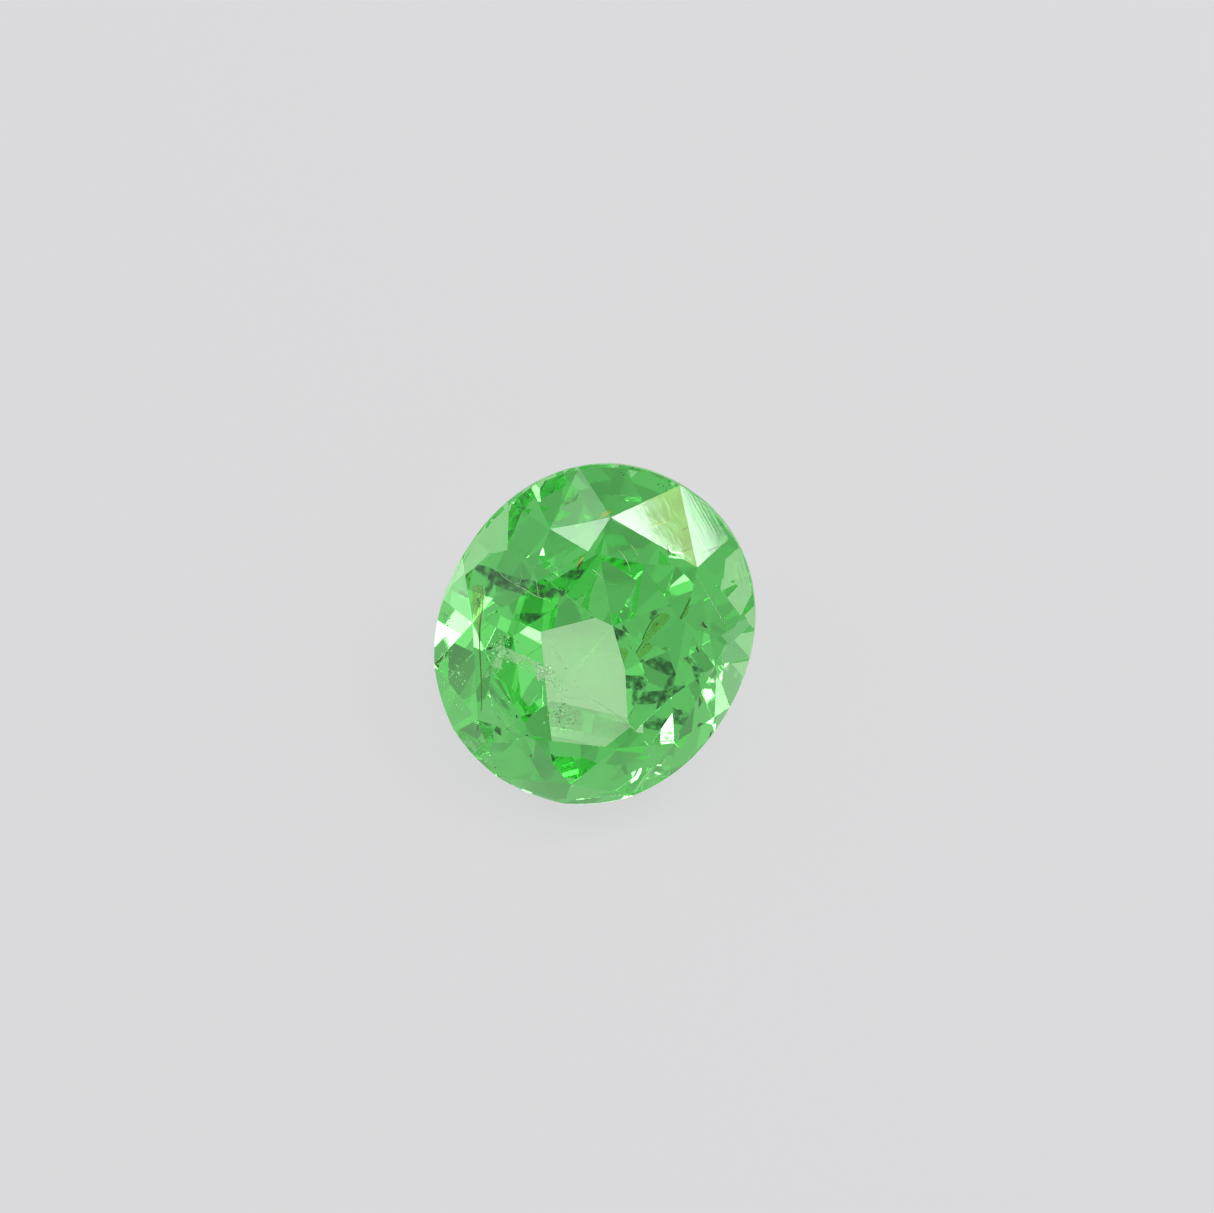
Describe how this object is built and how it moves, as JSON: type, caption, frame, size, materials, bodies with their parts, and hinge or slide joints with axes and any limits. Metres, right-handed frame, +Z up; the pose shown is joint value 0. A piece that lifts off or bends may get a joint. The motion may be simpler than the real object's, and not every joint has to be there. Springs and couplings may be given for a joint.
{
  "type": "oval cut tsavorite garnet",
  "caption": "Loose oval faceted garnet with a flat table, a thin girdle and a deep pointed underside, lying on one of its lower facets.",
  "frame": {"origin": "on the surface the stone lies on, under the middle of its box", "axes": "+Z up; the table leans 31 degrees from level, down towards -Y"},
  "size_m": [0.0066, 0.0064, 0.0047],
  "materials": {
    "tsavorite": "clear green garnet, polished"
  },
  "bodies": {
    "root": {"stone": "tsavorite"}
  },
  "joints": []
}
